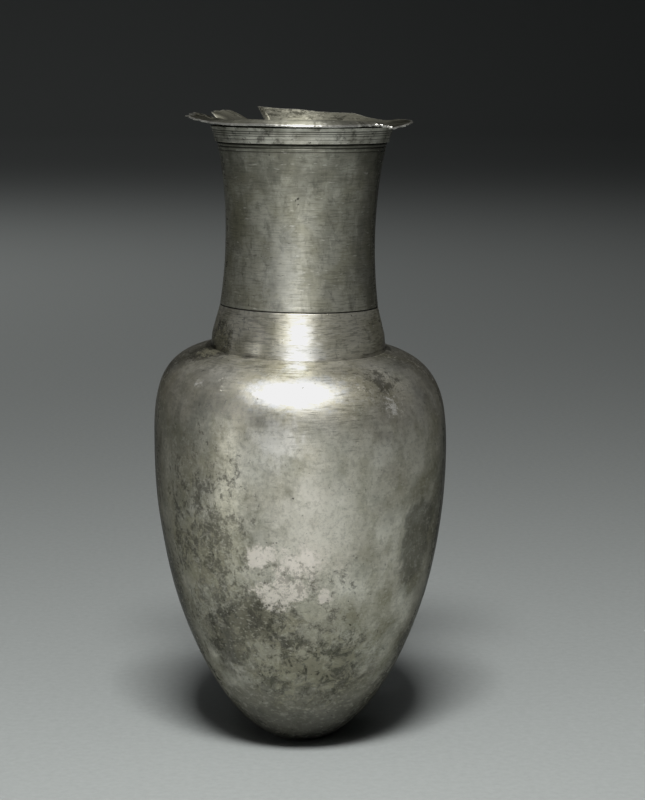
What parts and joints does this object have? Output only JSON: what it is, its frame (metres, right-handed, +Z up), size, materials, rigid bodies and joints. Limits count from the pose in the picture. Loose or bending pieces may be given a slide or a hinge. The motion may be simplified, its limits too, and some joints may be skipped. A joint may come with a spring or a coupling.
{
  "type": "amphoriskos",
  "caption": "Small handleless jar of tarnished sheet silver: pointed ovoid body, square shoulder, hollow-sided neck with a moulded band and a thin, torn, turned-out lip.",
  "frame": {"origin": "middle of the small flat that the jar stands on", "axes": "+Z up along the body's axis; -Y is the side that the picture shows, and +X is its right"},
  "size_m": [0.0812, 0.0812, 0.1762],
  "materials": {
    "body_silver": "raised sheet silver, greenish grey tarnish, mottled with corrosion on the lower body",
    "collar_silver": "burnished silver with fine turned lines",
    "neck_silver": "tarnished silver, lightly burnished",
    "band_silver": "tarnished silver with dark grooves",
    "solder": "dark, matt, corroded solder"
  },
  "bodies": {
    "root": {"body_shell": "body_silver", "neck_collar": "collar_silver", "neck_tube": "neck_silver", "rim_band": "band_silver", "shoulder_seam_solder": "solder", "collar_seam_solder": "solder", "rim_band_solder": "solder"}
  },
  "joints": []
}
